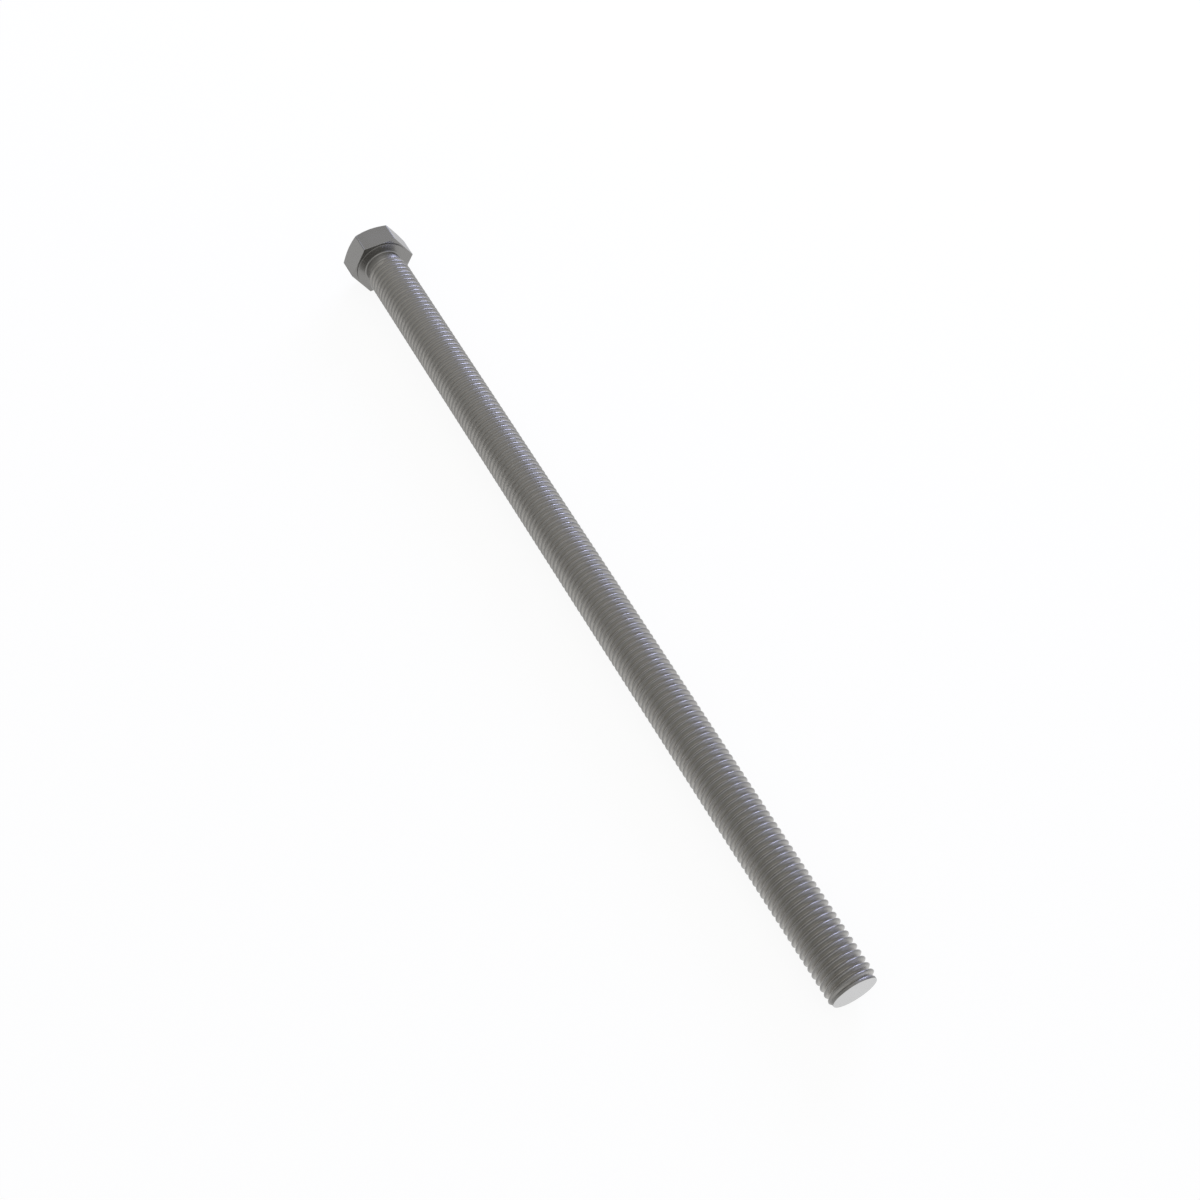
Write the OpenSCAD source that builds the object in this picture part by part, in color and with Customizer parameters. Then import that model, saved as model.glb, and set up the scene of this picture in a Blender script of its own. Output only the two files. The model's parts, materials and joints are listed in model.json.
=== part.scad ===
// A long hex cap screw, lying as it comes to rest: the edge of one flat of
// its head and the end of its thread touch the surface below it. The origin
// is the centre of the bearing face under the head, and +X runs along the
// shank. The shank is threaded from a short plain neck to the point, and is
// solid here up to the thread's major diameter.

/* [Shank] */
// Major diameter of the thread
thread_d = 19.05; // [8:0.05:23]
// Length from the bearing face to the tip
shank_length = 381; // [40:1:600]
// How far the plain neck under the head lies inside the major diameter, on the radius
neck_inset = 1.4; // [0.2:0.1:2]
// Length of the plain neck, from the bearing face
neck_length = 3.4; // [2.5:0.1:12]
// Angle of the cone from the neck up to the thread, from the axis
neck_angle = 30; // [20:1:70]
// Radius of the fillet between the neck and the bearing face
fillet_r = 0.6; // [0.2:0.1:2]
// How far the rim of the tip lies inside the major diameter, on the radius
point_depth = 0.98; // [0.2:0.02:3]
// Angle of the cone of the point, from the axis
point_angle = 45; // [20:1:70]
// Length of the plain end past that cone
point_land = 0.9; // [0.2:0.1:4]

/* [Head] */
// Width across the flats of the hexagon
across_flats = 25.4; // [21:0.1:50]
// Height from the bearing face to the top of the head
head_height = 11.6; // [4:0.1:30]
// Slope of the chamfer round the top of the hexagon
chamfer_angle = 30; // [10:1:45]
// How far the flat circle on top lies inside the flats
top_inset = 0.5; // [0.1:0.1:3]
// How far the round washer face lies inside the flats
washer_inset = 0.6; // [0.1:0.1:1.2]
// Thickness of the washer face
washer_thickness = 0.6; // [0.1:0.1:1]

/* [Hidden] */
$fn = 96;
steel = [0.52, 0.51, 0.49];
fillet_steps = 8;
thread_r = thread_d / 2;
neck_r = thread_r - neck_inset;
thread_start = neck_length + neck_inset / tan(neck_angle);
tip_r = thread_r - point_depth;
point_length = point_land + point_depth / tan(point_angle);
washer_r = across_flats / 2 - washer_inset;
top_r = across_flats / 2 - top_inset;
// The fillet ends inside the washer face
seat_fillet = min(fillet_r, washer_r - neck_r - 0.1);
// The slope of the axis when the head's edge and the end of the thread share a level
rest_tilt = atan((across_flats / 2 - thread_r) / (shank_length - point_length + washer_thickness));

// The quarter arc that runs from the bearing face up to the neck
function fillet_points() = [
    for (i = [0:fillet_steps])
        let (turn = 270 - 90 * i / fillet_steps)
        [neck_r + seat_fillet * (1 + cos(turn)), seat_fillet * (1 + sin(turn))]
];

// Turned shape from inside the head to the flat tip
module shank() {
    rotate_extrude()
        polygon(concat(
            [[0, -washer_thickness], [neck_r + seat_fillet, -washer_thickness]],
            fillet_points(),
            [[neck_r, neck_length], [thread_r, thread_start], [thread_r, shank_length - point_length]],
            [[tip_r, shank_length - point_land], [tip_r, shank_length], [0, shank_length]]
        ));
}

// Hexagonal prism with its corners taken off by a shallow cone at the top
module hexagon() {
    wrench_height = head_height - washer_thickness;
    translate([0, 0, -head_height])
        intersection() {
            rotate(30)
                cylinder(h = wrench_height, d = across_flats / cos(30), $fn = 6);
            cylinder(h = wrench_height, r1 = top_r, r2 = top_r + wrench_height / tan(chamfer_angle));
        }
}

// Round face that bears on the work
module washer_face() {
    translate([0, 0, -2 * washer_thickness])
        cylinder(h = 2 * washer_thickness, r = washer_r);
}

// Turns an upright screw, tip up, onto one flat of its head
module laid_down() {
    rotate([0, 90 + rest_tilt, 0])
        children();
}

module hex_cap_screw() {
    color(steel)
        laid_down()
            union() {
                shank();
                washer_face();
                hexagon();
            }
}

hex_cap_screw();
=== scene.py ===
import json
import math

import bmesh
import bpy
from mathutils import Matrix, Vector


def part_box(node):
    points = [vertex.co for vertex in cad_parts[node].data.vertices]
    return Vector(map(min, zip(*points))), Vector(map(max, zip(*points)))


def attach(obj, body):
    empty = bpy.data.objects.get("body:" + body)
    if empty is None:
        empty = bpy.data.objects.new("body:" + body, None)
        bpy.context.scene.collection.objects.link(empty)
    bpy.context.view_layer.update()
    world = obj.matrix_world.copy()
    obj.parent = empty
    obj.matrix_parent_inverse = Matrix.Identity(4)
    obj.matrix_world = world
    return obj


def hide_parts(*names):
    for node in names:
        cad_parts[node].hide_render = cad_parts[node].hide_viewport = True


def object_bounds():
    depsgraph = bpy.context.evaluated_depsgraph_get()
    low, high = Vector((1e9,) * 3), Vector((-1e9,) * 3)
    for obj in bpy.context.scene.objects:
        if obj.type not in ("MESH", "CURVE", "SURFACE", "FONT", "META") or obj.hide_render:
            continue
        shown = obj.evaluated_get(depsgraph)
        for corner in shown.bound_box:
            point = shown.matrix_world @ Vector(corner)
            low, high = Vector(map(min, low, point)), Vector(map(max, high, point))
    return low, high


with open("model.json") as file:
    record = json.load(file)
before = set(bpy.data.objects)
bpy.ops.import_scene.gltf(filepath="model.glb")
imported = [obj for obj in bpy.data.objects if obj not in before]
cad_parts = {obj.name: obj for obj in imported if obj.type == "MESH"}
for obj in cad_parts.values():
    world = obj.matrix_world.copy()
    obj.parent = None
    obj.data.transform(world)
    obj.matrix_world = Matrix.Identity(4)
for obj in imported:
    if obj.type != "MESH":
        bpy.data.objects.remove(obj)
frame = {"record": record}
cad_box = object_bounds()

# ---------------------------------------------------------------- sizes
# The screw is built along +X, tip forward, with the centre of its bearing
# face at the origin and two flats of its head level. build_screw then tips it
# onto the head's lower edge and the thread's end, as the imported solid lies.
# Sizes that no mount gives repeat the solid's. TURNS are the degrees at which a
# rounded edge has its points.

MM = 0.001
SCREW = "hex_cap_screw"
mounts = {mount["name"]: mount for mount in frame["record"]["mounts"]}
screw_low, screw_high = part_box(SCREW)

AXIS = Vector(mounts["thread"]["axis"]).normalized()
REST_TILT = math.asin(-AXIS.z)
THREAD_R = mounts["thread"]["dims"]["r_mm"] * MM
LENGTH = Vector(mounts["tip_face"]["pos_m"]).length
HEAD_HEIGHT = Vector(mounts["head_top"]["pos_m"]).length
CORNER_R = (screw_high.y - screw_low.y) / 2
FLAT_R = CORNER_R * math.cos(math.radians(30))

# Thread
PITCH = 2.54 * MM
SHARP_DEPTH = PITCH * math.sqrt(3) / 2
ALLOWANCE = 0.03 * MM
PITCH_R = THREAD_R - SHARP_DEPTH * 3 / 8 - ALLOWANCE
CREST_ROUND = 0.17 * PITCH
ROOT_ROUND = 0.08 * PITCH
CREST_R = PITCH_R + SHARP_DEPTH / 2 - CREST_ROUND
ROOT_R = PITCH_R - SHARP_DEPTH / 2 + ROOT_ROUND
ARC_TURNS = (0, 30, 60)
SEGMENTS = 60
SPARE_TURNS = 2

# Neck and point
FILLET = 0.6 * MM
FILLET_TURNS = (15, 30, 45, 60, 75, 90)
NECK_INSET = 1.4 * MM
NECK_R = THREAD_R - NECK_INSET
NECK = 3.4 * MM
RUN_OUT = 1.0 * PITCH
POINT_DEPTH = 0.98 * MM
POINT_SLOPE = math.tan(math.radians(45))
POINT_REACH = 1.2 * PITCH
TIP_R = THREAD_R - POINT_DEPTH
POINT_LAND = 0.9 * MM
TIP_BREAK = 0.12 * MM
TIP_BREAK_IN = 0.4 * TIP_BREAK
TIP_RAMP = 0.4 * PITCH

# Head
WASHER_INSET = 0.6 * MM
WASHER_R = FLAT_R - WASHER_INSET
WASHER_THICKNESS = 0.6 * MM
WASHER_BREAK = 0.12 * MM
TOP_INSET = 0.5 * MM
TOP_R = FLAT_R - TOP_INSET
CHAMFER_SLOPE = math.tan(math.radians(30))
SIDE_CUTS = 9
CORNER_BREAK = 0.08 * MM
LOWER_ROUND = 0.12 * MM
LOWER_TURNS = (30, 60, 90)
UPPER_BREAK = 0.1 * MM
BREAK_SEGMENTS = 3

# How close points have to be to merge, to lie on a cut or to lie on a rim
MERGE_GAP = 0.004 * MM
CUT_GAP = 0.002 * MM
RIM_GAP = 0.01 * MM

# A face lies in a flat when the cosine between their directions is over this
IN_PLANE = 0.9999

# A sharper fold than this isn't shaded smoothly
CREASE = math.radians(38)

# ---------------------------------------------------------------- camera

CAMERA_AT = Vector((0.52205, -0.17338, 0.52455))
CAMERA_AIM = Vector((0.20315, -0.00018, -0.00115))
CAMERA_ROLL = math.radians(0.25)
LENS_MM = 50
SENSOR_MM = 36
NEAREST = 0.01
FARTHEST = 50


def facing(place, aim):
    """The matrix of a camera or lamp that stands at a place and looks at another."""
    turn = (Vector(aim) - Vector(place)).to_track_quat("-Z", "Y").to_matrix().to_4x4()
    return Matrix.Translation(place) @ turn


def add_camera():
    data = bpy.data.cameras.new("camera")
    data.lens = LENS_MM
    data.sensor_width = SENSOR_MM
    data.clip_start = NEAREST
    data.clip_end = FARTHEST
    camera = bpy.data.objects.new("camera", data)
    bpy.context.collection.objects.link(camera)
    camera.matrix_world = facing(CAMERA_AT, CAMERA_AIM) @ Matrix.Rotation(CAMERA_ROLL, 4, "Z")
    bpy.context.scene.camera = camera


# ---------------------------------------------------------------- shader maths

NOISE_ROUGH = 0.6


class Wire:
    """An output socket that takes part in Python arithmetic through Math nodes."""

    def __init__(self, graph, socket):
        self.graph = graph
        self.socket = socket

    def join(self, operation, first, second=0.0):
        return self.graph.node("ShaderNodeMath", {"operation": operation}, {0: first, 1: second})

    def __add__(self, other):
        return self.join("ADD", self, other)

    def __radd__(self, other):
        return self.join("ADD", other, self)

    def __sub__(self, other):
        return self.join("SUBTRACT", self, other)

    def __rsub__(self, other):
        return self.join("SUBTRACT", other, self)

    def __mul__(self, other):
        return self.join("MULTIPLY", self, other)

    def __rmul__(self, other):
        return self.join("MULTIPLY", other, self)

    def root(self):
        return self.join("SQRT", self)

    def at_most(self, limit):
        return self.join("MINIMUM", self, limit)


class Graph:
    """A material's or a world's node tree."""

    def __init__(self, owner):
        owner.use_nodes = True
        self.tree = owner.node_tree
        self.tree.nodes.clear()

    def node(self, kind, settings=None, inputs=None, output=0):
        """Adds one node: its settings first, then its sockets' values or links. Returns one output."""
        made = self.tree.nodes.new(kind)
        for name, value in (settings or {}).items():
            setattr(made, name, value)
        for key, value in (inputs or {}).items():
            if isinstance(value, Wire):
                self.tree.links.new(value.socket, made.inputs[key])
            else:
                made.inputs[key].default_value = value
        if not made.outputs:
            return None
        return Wire(self, made.outputs[output])

    def parts(self, vector):
        """The X, Y and Z of a vector, each as a wire."""
        x = self.node("ShaderNodeSeparateXYZ", None, {0: vector})
        return [Wire(self, socket) for socket in x.socket.node.outputs]

    def step(self, value, low, high):
        """0 on low's side, 1 on high's side and a smooth rise between them."""
        return self.node(
            "ShaderNodeMapRange",
            {"interpolation_type": "SMOOTHSTEP"},
            {"Value": value, "From Min": low, "From Max": high, "To Min": 0.0, "To Max": 1.0},
        )

    def blend(self, factor, first, second):
        """Mixes two colours, which this node has on its sockets 6 and 7 and its output 2."""
        return self.node(
            "ShaderNodeMix", {"data_type": "RGBA"}, {0: factor, 6: first, 7: second}, output=2
        )

    def noise(self, vector, scale, detail=2.0):
        return self.node(
            "ShaderNodeTexNoise",
            None,
            {"Vector": vector, "Scale": scale, "Detail": detail, "Roughness": NOISE_ROUGH},
        )

    def stretched(self, vector, scale):
        """The same place with each axis scaled by its own number."""
        return self.node(
            "ShaderNodeVectorMath", {"operation": "MULTIPLY"}, {0: vector, 1: scale}
        )


def grey(level, warmth=0.0):
    """A linear grey; warmth takes that share off blue and adds half of it to red."""
    return (level * (1 + warmth / 2), level, level * (1 - warmth), 1.0)


# ---------------------------------------------------------------- steel

# Colours of the plain steel, the thread and what is laid over them. The flank and root tones are painted
# light: paler than the crests so the grooves look less shaded
PLAIN_DARK = grey(0.235, 0.035)
PLAIN_PALE = grey(0.28, 0.025)
THREAD_TONE = grey(0.17, 0.06)
FLANK_PAINTED_LIGHT = grey(0.38, 0.06)
ROOT_PAINTED_LIGHT = grey(0.33, 0.06)
# Painted shade: the band just before the point is darker, standing in for a dark reflection at the rim
END_BAND_PAINTED_SHADE = grey(0.19, 0.05)
NECK_TONE = grey(0.31, 0.04)
CUT_END_TONE = grey(0.5)
CLOUD_TINT = 0.5
GRAIN_TINT = 0.35

# Where each finish, painted light or painted shade fades in (FROM) and out (TO): along the axis, then
# outwards from it
THREAD_FROM = (NECK - 0.5 * MM, NECK + 0.5 * MM)
THREAD_TO = (LENGTH - 0.3 * MM, LENGTH - 0.1 * MM)
END_BAND_FROM = (LENGTH - POINT_LAND - 0.7 * MM, LENGTH - POINT_LAND)
CUT_END_FROM = (LENGTH - 0.12 * MM, LENGTH - 0.02 * MM)
NECK_FROM = (0.2 * FILLET, 0.5 * FILLET)
FLANK_TO = (CREST_R - 0.9 * MM, CREST_R)
ROOT_TO = (ROOT_R, ROOT_R + 0.4 * MM)
CORNER_FROM = (CORNER_R - 0.3 * MM, CORNER_R - 0.05 * MM)

# Scale of each pattern, per metre
CLOUD_SCALE = 60.0
CLOUD_DETAIL = 3.0
GRAIN_SCALE = 2200.0
PIT_SCALE = 2300.0
DRAWN_SCALE = (9000.0, 350.0, 350.0)

# Roughness of the plain steel, and what each finish and pattern adds to it
PLAIN_ROUGH = 0.28
THREAD_ROUGH = 0.12
CLOUD_ROUGH = 0.12
GRAIN_ROUGH = 0.15
PIT_ROUGH = 0.5
CORNER_ROUGH = 0.3
CUT_END_SMOOTH = 0.1
NECK_ROUGH = 0.2
END_BAND_ROUGH = 0.1

# Relief: the share of each pattern, and the height of a share of 1
GRAIN_RELIEF = 0.06
PIT_RELIEF = 1.8
DRAWN_RELIEF = 0.1
RELIEF_HEIGHT = 0.06 * MM

# Clear coat on the thread, and how much of it the flanks and the end band lose
COAT_ROUGH = 0.3
COAT_IOR = 1.65
FLANK_COAT_LOSS = 0.5
END_BAND_COAT_LOSS = 0.6


def steel_finish():
    """Satin steel, with painted light on the thread's flanks and roots and painted shade on the band
    before the point; its patterns are placed as on the screw before it is laid down.
    """
    material = bpy.data.materials.new("satin_steel")
    graph = Graph(material)
    own = graph.node("ShaderNodeTexCoord", output="Object")
    place = graph.node(
        "ShaderNodeMapping",
        {"vector_type": "POINT"},
        {"Vector": own, "Rotation": (0.0, -REST_TILT, 0.0)},
    )
    x, y, z = graph.parts(place)
    radius = (y * y + z * z).root()

    on_thread = graph.step(x, *THREAD_FROM) * (1 - graph.step(x, *THREAD_TO))
    end_band = graph.step(x, *END_BAND_FROM)
    flank = (1 - graph.step(radius, *FLANK_TO)) * on_thread * (1 - end_band)
    neck = graph.step(x, *NECK_FROM) * (1 - graph.step(x, *THREAD_FROM))
    root = (1 - graph.step(radius, *ROOT_TO)) * on_thread
    cut_end = graph.step(x, *CUT_END_FROM)
    corner = graph.step(radius, *CORNER_FROM)

    cloud = graph.noise(place, CLOUD_SCALE, CLOUD_DETAIL)
    grain = graph.noise(place, GRAIN_SCALE)
    pits = graph.noise(place, PIT_SCALE)
    drawn = graph.noise(graph.stretched(place, DRAWN_SCALE), 1.0)

    tone = 0.5 + (cloud - 0.5) * CLOUD_TINT + (grain - 0.5) * GRAIN_TINT
    base = graph.blend(tone, PLAIN_DARK, PLAIN_PALE)
    base = graph.blend(on_thread, base, THREAD_TONE)
    # Painted light: the flanks and roots are made paler than the crests, so the thread's grooves look
    # less shaded
    base = graph.blend(flank, base, FLANK_PAINTED_LIGHT)
    base = graph.blend(root, base, ROOT_PAINTED_LIGHT)
    # Painted shade: the band just before the point is darkened
    base = graph.blend(end_band, base, END_BAND_PAINTED_SHADE)
    base = graph.blend(neck, base, NECK_TONE)
    base = graph.blend(cut_end, base, CUT_END_TONE)

    rough = PLAIN_ROUGH + on_thread * THREAD_ROUGH
    rough = rough + (cloud - 0.5) * CLOUD_ROUGH + (grain - 0.5) * GRAIN_ROUGH
    rough = rough + (pits - 0.5) * on_thread * PIT_ROUGH + corner * CORNER_ROUGH
    rough = rough - cut_end * CUT_END_SMOOTH + neck * NECK_ROUGH
    rough = rough + end_band * (1 - cut_end) * END_BAND_ROUGH

    coat = on_thread * (1 - flank * FLANK_COAT_LOSS) * (1 - end_band * END_BAND_COAT_LOSS)

    relief = grain * GRAIN_RELIEF + pits * on_thread * PIT_RELIEF + drawn * DRAWN_RELIEF
    bump = graph.node(
        "ShaderNodeBump", None, {"Height": relief, "Strength": 1.0, "Distance": RELIEF_HEIGHT}
    )
    shader = graph.node(
        "ShaderNodeBsdfPrincipled",
        None,
        {
            "Base Color": base,
            "Metallic": 1.0,
            "Roughness": rough,
            "Normal": bump,
            "Coat Weight": coat,
            "Coat Roughness": COAT_ROUGH,
            "Coat IOR": COAT_IOR,
        },
    )
    graph.node("ShaderNodeOutputMaterial", None, {"Surface": shader})
    return material


# ---------------------------------------------------------------- the screw


def thread_form():
    """One pitch of the thread as (place along the axis, radius), from root to root.

    Rounded roots and crests are joined by flanks that stand 60 degrees apart.
    """
    rise = []
    for turn in ARC_TURNS:
        along = ROOT_ROUND * math.sin(math.radians(turn))
        lift = ROOT_ROUND * (1 - math.cos(math.radians(turn)))
        rise.append((along - PITCH / 2, ROOT_R + lift))
    for turn in reversed(ARC_TURNS):
        along = CREST_ROUND * math.sin(math.radians(turn))
        fall = CREST_ROUND * (1 - math.cos(math.radians(turn)))
        rise.append((-along, CREST_R - fall))
    back = [(-along, radius) for along, radius in reversed(rise)]
    return rise + back[1:-1]


def smooth_rise(value):
    """0 below 0, 1 above 1 and a smooth rise between them."""
    value = min(max(value, 0.0), 1.0)
    return value * value * (3 - 2 * value)


def radius_limits(x):
    """Lowest and highest radius of the surface at a station: run-out, thread and chamfered point."""
    grown = smooth_rise((x - NECK) / RUN_OUT)
    lowest = NECK_R + (ROOT_R - NECK_R) * grown
    lowest += (TIP_R - ROOT_R) * smooth_rise((x - LENGTH + POINT_LAND + TIP_RAMP) / TIP_RAMP)
    to_land = max(LENGTH - POINT_LAND - x, 0.0)
    highest = min(NECK_R + (CREST_R - NECK_R) * grown, TIP_R + to_land * POINT_SLOPE)
    return min(lowest, highest), highest


def spin_thread(bm):
    """A right-hand helical thread: its whole outline turns once while it moves one pitch."""
    turns = math.ceil(LENGTH / PITCH) + 2 * SPARE_TURNS
    outline = [
        (x + (turn - SPARE_TURNS) * PITCH, radius) for turn in range(turns) for x, radius in thread_form()
    ]
    points = [bm.verts.new((x, 0.0, radius)) for x, radius in outline]
    edges = [bm.edges.new(pair) for pair in zip(points, points[1:])]
    bmesh.ops.spin(
        bm,
        geom=points + edges,
        cent=(0, 0, 0),
        axis=(1, 0, 0),
        dvec=(PITCH / SEGMENTS, 0, 0),
        angle=2 * math.pi,
        steps=SEGMENTS,
        use_merge=False,
    )
    bmesh.ops.remove_doubles(bm, verts=bm.verts, dist=MERGE_GAP)


def cut(bm, x, keep_tip_side=False, keep_head_side=False):
    """Adds a loop round the shank at a station. If one side is kept, the other is cleared."""
    bmesh.ops.bisect_plane(
        bm,
        geom=bm.verts[:] + bm.edges[:] + bm.faces[:],
        dist=CUT_GAP,
        plane_co=(x, 0, 0),
        plane_no=(1, 0, 0),
        clear_outer=keep_head_side,
        clear_inner=keep_tip_side,
    )


def shape_ends(bm):
    """Fades the thread out at the neck and takes its crests down to the point's cone."""
    for point in bm.verts:
        x = point.co.x
        if NECK + RUN_OUT < x < LENGTH - POINT_REACH:
            continue
        radius = math.hypot(point.co.y, point.co.z)
        lowest, highest = radius_limits(x)
        scale = min(max(radius, lowest), highest) / radius
        point.co.y *= scale
        point.co.z *= scale


def open_rim(bm, x):
    """The open edges round the shank at a station."""
    return [
        edge
        for edge in bm.edges
        if edge.is_boundary and all(abs(point.co.x - x) < RIM_GAP for point in edge.verts)
    ]


def extend(bm, rim, place):
    """Extrudes a rim, moves each new point to place(point), and returns the new rim."""
    made = bmesh.ops.extrude_edge_only(bm, edges=rim)["geom"]
    for point in made:
        if isinstance(point, bmesh.types.BMVert):
            point.co = place(point.co)
    return [item for item in made if isinstance(item, bmesh.types.BMEdge)]


def round_loop(x, radius):
    """The place on a circle of this radius at this station, in a point's own direction."""

    def place(point):
        scale = radius / math.hypot(point.y, point.z)
        return Vector((x, point.y * scale, point.z * scale))

    return place


def widened_loop(x, scale):
    """The place at this station, at a point's own distance from the axis times a scale."""
    return lambda point: Vector((x, point.y * scale, point.z * scale))


def on_chamfer(point):
    """The place on the shallow cone round the top of the head, straight above a point."""
    radius = math.hypot(point.y, point.z)
    return Vector((-HEAD_HEIGHT + (radius - TOP_R) * CHAMFER_SLOPE, point.y, point.z))


def close_tip(bm):
    """Breaks the edge of the tip and closes its flat end."""
    rim = open_rim(bm, LENGTH - TIP_BREAK)
    rim = extend(bm, rim, round_loop(LENGTH, TIP_R - TIP_BREAK_IN))
    bmesh.ops.contextual_create(bm, geom=rim)


def add_neck_and_washer_face(bm):
    """Carries the thread's open end down to the head, and returns the washer face's back rim."""
    rim = open_rim(bm, NECK)
    rim = extend(bm, rim, round_loop(FILLET, NECK_R))
    for turn in FILLET_TURNS:
        x = FILLET * (1 - math.sin(math.radians(turn)))
        rim = extend(bm, rim, round_loop(x, NECK_R + FILLET * (1 - math.cos(math.radians(turn)))))
    rim = extend(bm, rim, round_loop(0.0, WASHER_R - WASHER_BREAK))
    rim = extend(bm, rim, round_loop(-WASHER_BREAK, WASHER_R))
    return extend(bm, rim, round_loop(-WASHER_THICKNESS, WASHER_R))


def draw_hexagon(bm):
    """The outline of the hexagon with its corners rounded a little, as loose edges."""
    upright = Matrix.Translation((-WASHER_THICKNESS, 0, 0)) @ Matrix.Rotation(math.radians(90), 4, "Y")
    corners = bmesh.ops.create_circle(bm, segments=6, radius=CORNER_R, matrix=upright)["verts"]
    bmesh.ops.bevel(
        bm,
        geom=corners,
        offset=CORNER_BREAK,
        offset_type="OFFSET",
        segments=BREAK_SEGMENTS,
        profile=0.5,
        affect="VERTICES",
        material=-1,
    )
    # The six sides, without the short pieces round the corners
    sides = [edge for edge in bm.edges if edge.is_wire and edge.calc_length() > FLAT_R / 2]
    bmesh.ops.subdivide_edges(bm, edges=sides, cuts=SIDE_CUTS)
    return [edge for edge in bm.edges if edge.is_wire]


def add_hexagon(bm, washer_rim):
    """Raises the hexagon behind the washer face, with both its ends rounded and its top closed."""
    rim = draw_hexagon(bm)
    points = {point for edge in rim for point in edge.verts}
    bmesh.ops.scale(bm, verts=list(points), vec=Vector((1, 1, 1)) * (1 - LOWER_ROUND / FLAT_R))
    for point in points:
        point.co.x = -WASHER_THICKNESS
    bmesh.ops.triangle_fill(
        bm, edges=washer_rim + rim, normal=(1, 0, 0), use_beauty=True, use_dissolve=False
    )
    inner = LOWER_ROUND
    for turn in LOWER_TURNS:
        inset = LOWER_ROUND * (1 - math.sin(math.radians(turn)))
        x = -WASHER_THICKNESS - LOWER_ROUND * (1 - math.cos(math.radians(turn)))
        rim = extend(bm, rim, widened_loop(x, (FLAT_R - inset) / (FLAT_R - inner)))
        inner = inset
    upper_edge = extend(bm, rim, on_chamfer)
    top_circle = extend(bm, upper_edge, round_loop(-HEAD_HEIGHT, TOP_R))
    bmesh.ops.contextual_create(bm, geom=top_circle)
    bmesh.ops.bevel(
        bm,
        geom=upper_edge + top_circle,
        offset=UPPER_BREAK,
        offset_type="OFFSET",
        segments=BREAK_SEGMENTS,
        profile=0.5,
        affect="EDGES",
        material=-1,
        clamp_overlap=True,
    )


def on_plane(face):
    """Whether a face of the head lies in one of its flats or across the axis."""
    flats = [Vector((0, math.sin(turn), math.cos(turn))) for turn in (0, math.pi / 3, -math.pi / 3)]
    ways = [abs(face.normal.x)] + [abs(face.normal.dot(flat)) for flat in flats]
    return face.calc_center_median().x < -0.5 * WASHER_THICKNESS and max(ways) > IN_PLANE


def set_creases(bm):
    """Rounded surfaces shade smoothly; flats, square edges and their borders don't."""
    flat = {face for face in bm.faces if on_plane(face)}
    for face in bm.faces:
        face.smooth = True
    for edge in bm.edges:
        sides = [face in flat for face in edge.link_faces]
        edge.smooth = sides[0] == sides[1] and edge.calc_face_angle() < CREASE


def build_screw():
    """The whole screw as one closed mesh, laid down as it comes to rest."""
    bm = bmesh.new()
    spin_thread(bm)
    cut(bm, NECK, keep_tip_side=True)
    cut(bm, LENGTH - TIP_BREAK, keep_head_side=True)
    cut(bm, LENGTH - POINT_LAND)
    cut(bm, LENGTH - POINT_LAND - (CREST_R - TIP_R) / POINT_SLOPE)
    shape_ends(bm)
    close_tip(bm)
    washer_rim = add_neck_and_washer_face(bm)
    add_hexagon(bm, washer_rim)
    bmesh.ops.recalc_face_normals(bm, faces=bm.faces)
    set_creases(bm)
    lay_down = Matrix.Rotation(REST_TILT, 4, "Y")
    bmesh.ops.transform(bm, matrix=lay_down, verts=bm.verts)
    mesh = bpy.data.meshes.new("screw")
    bm.to_mesh(mesh)
    bm.free()
    mesh.materials.append(steel_finish())
    screw = bpy.data.objects.new("screw", mesh)
    bpy.context.collection.objects.link(screw)
    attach(screw, "root")
    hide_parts(SCREW)


# ---------------------------------------------------------------- studio

# Seen directly, the floor is this share plain white; the rest of it is lit and keeps the shadow
FLOOR_SHARE = 0.92
FLOOR_SIZE = 40.0
FLOOR_TONE = grey(0.9)
FLOOR_WHITE = grey(1.0)

# The walls on the right and left of someone who looks from the head to the tip, the
# one ahead of the tip and the one behind the head
WALL_RIGHT = (0.6, 0.59, 0.57, 1.0)
WALL_LEFT = (0.26, 0.27, 0.29, 1.0)
WALL_AHEAD = grey(0.52)
WALL_BEHIND = grey(0.36)
UPPER_WALLS = (0.7, 0.695, 0.68, 1.0)
CEILING = grey(1.12)

# Where each of them takes over, in the X or Z of a direction of length 1
AHEAD_FROM = (0.3, 0.9)
BEHIND_FROM = (-0.3, -0.8)
UPPER_FROM = (0.1, 0.7)
CEILING_FROM = (0.7, 0.95)

# How many times its direction each lamp stands from the middle of the screw
LAMP_REACH = 1.5

# Each lamp's direction, size in metres, watts and colour
LAMPS = {
    "window": ((-0.62, 0.7, 0.33), (0.9, 0.5), 22.0, (0.62, 0.66, 1.0)),
    "side": ((0.74, 0.66, 0.12), (0.7, 0.3), 1.6, (0.62, 0.67, 1.0)),
}


def seen_directly(graph):
    """1 for camera, glossy and transmission rays."""
    camera, glossy, transmission = [
        graph.node("ShaderNodeLightPath", output=name)
        for name in ("Is Camera Ray", "Is Glossy Ray", "Is Transmission Ray")
    ]
    return (camera + glossy + transmission).at_most(1.0)


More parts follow.
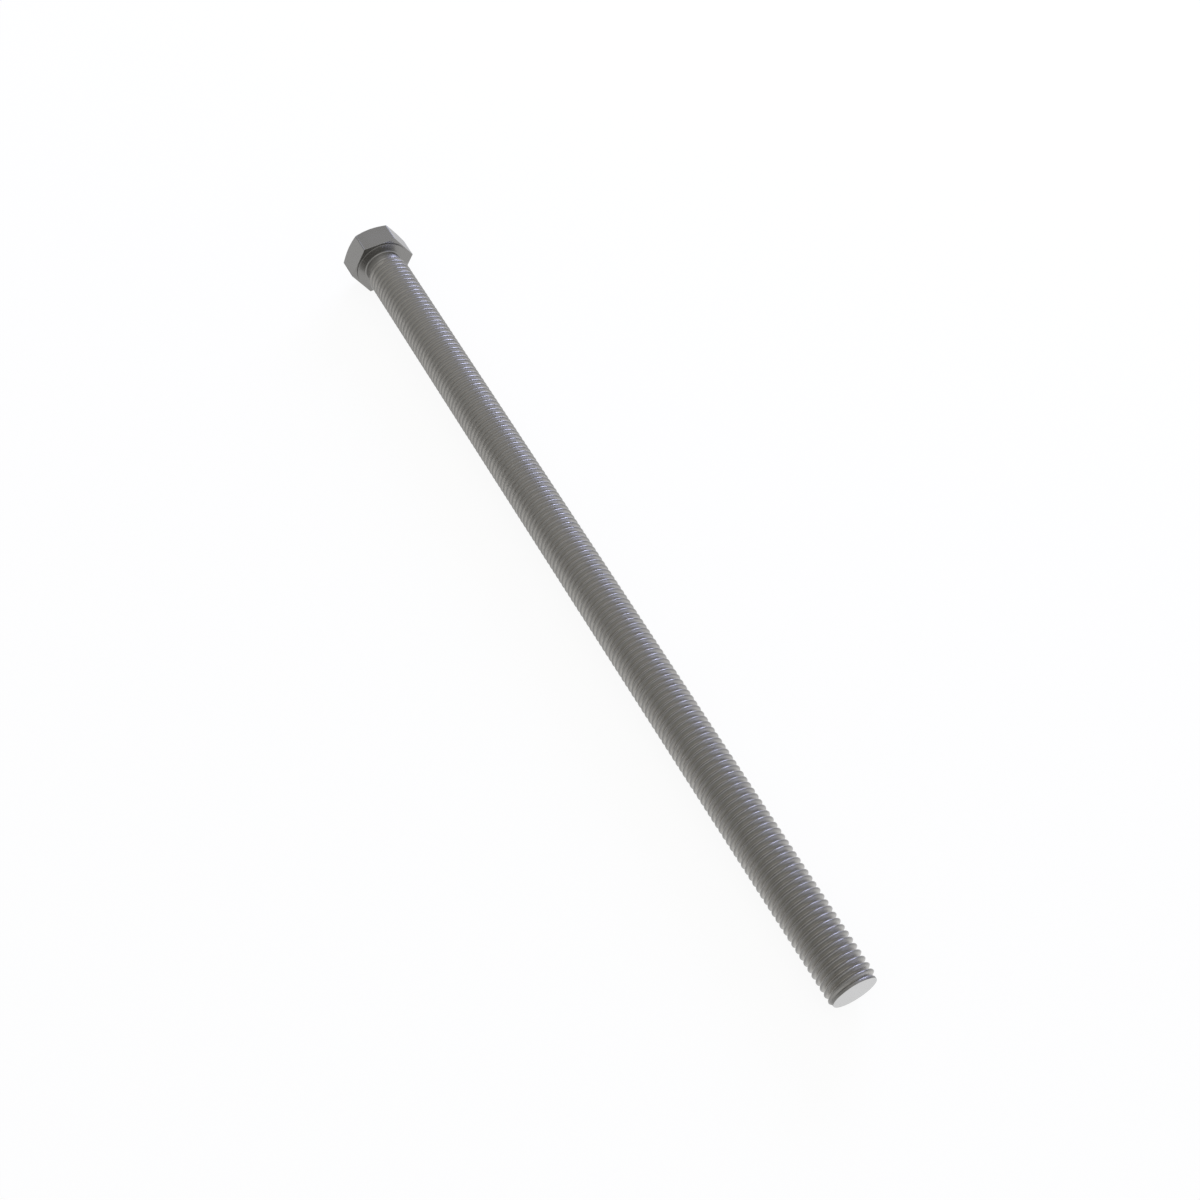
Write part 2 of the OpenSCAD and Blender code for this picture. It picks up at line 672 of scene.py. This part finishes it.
def add_floor():
    """A pale floor under the screw, which shows almost white."""
    bm = bmesh.new()
    bmesh.ops.create_grid(bm, x_segments=1, y_segments=1, size=FLOOR_SIZE / 2)
    bmesh.ops.translate(bm, verts=bm.verts, vec=(LENGTH / 2, 0, cad_box[0].z))
    mesh = bpy.data.meshes.new("floor")
    bm.to_mesh(mesh)
    bm.free()
    material = bpy.data.materials.new("pale_floor")
    graph = Graph(material)
    lit = graph.node("ShaderNodeBsdfDiffuse", None, {"Color": FLOOR_TONE})
    plain = graph.node("ShaderNodeEmission", None, {"Color": FLOOR_WHITE, "Strength": 1.0})
    shade = graph.node(
        "ShaderNodeMixShader", None, {0: seen_directly(graph) * FLOOR_SHARE, 1: lit, 2: plain}
    )
    graph.node("ShaderNodeOutputMaterial", None, {"Surface": shade})
    mesh.materials.append(material)
    floor = bpy.data.objects.new("floor", mesh)
    bpy.context.collection.objects.link(floor)


def add_world():
    """Plain walls that differ a little from side to side, under a pale ceiling."""
    world = bpy.data.worlds.new("studio")
    graph = Graph(world)
    direction = graph.node("ShaderNodeTexCoord", output="Generated")
    ahead, side, height = graph.parts(direction)
    walls = graph.blend(side * 0.5 + 0.5, WALL_RIGHT, WALL_LEFT)
    walls = graph.blend(graph.step(ahead, *AHEAD_FROM), walls, WALL_AHEAD)
    walls = graph.blend(graph.step(ahead, *BEHIND_FROM), walls, WALL_BEHIND)
    colour = graph.blend(graph.step(height, *UPPER_FROM), walls, UPPER_WALLS)
    colour = graph.blend(graph.step(height, *CEILING_FROM), colour, CEILING)
    background = graph.node("ShaderNodeBackground", None, {"Color": colour, "Strength": 1.0})
    graph.node("ShaderNodeOutputWorld", None, {"Surface": background})
    bpy.context.scene.world = world


def add_lamps():
    middle = Vector((LENGTH / 2, 0, 0))
    for name, (way, size, power, colour) in LAMPS.items():
        data = bpy.data.lights.new(name, "AREA")
        data.shape = "RECTANGLE"
        data.size, data.size_y = size
        data.energy = power
        data.color = colour
        lamp = bpy.data.objects.new(name, data)
        bpy.context.collection.objects.link(lamp)
        lamp.matrix_world = facing(middle + LAMP_REACH * Vector(way), middle)


# ---------------------------------------------------------------- making

scene = bpy.context.scene
scene.view_settings.view_transform = "Standard"
add_camera()
add_floor()
add_world()
add_lamps()
build_screw()
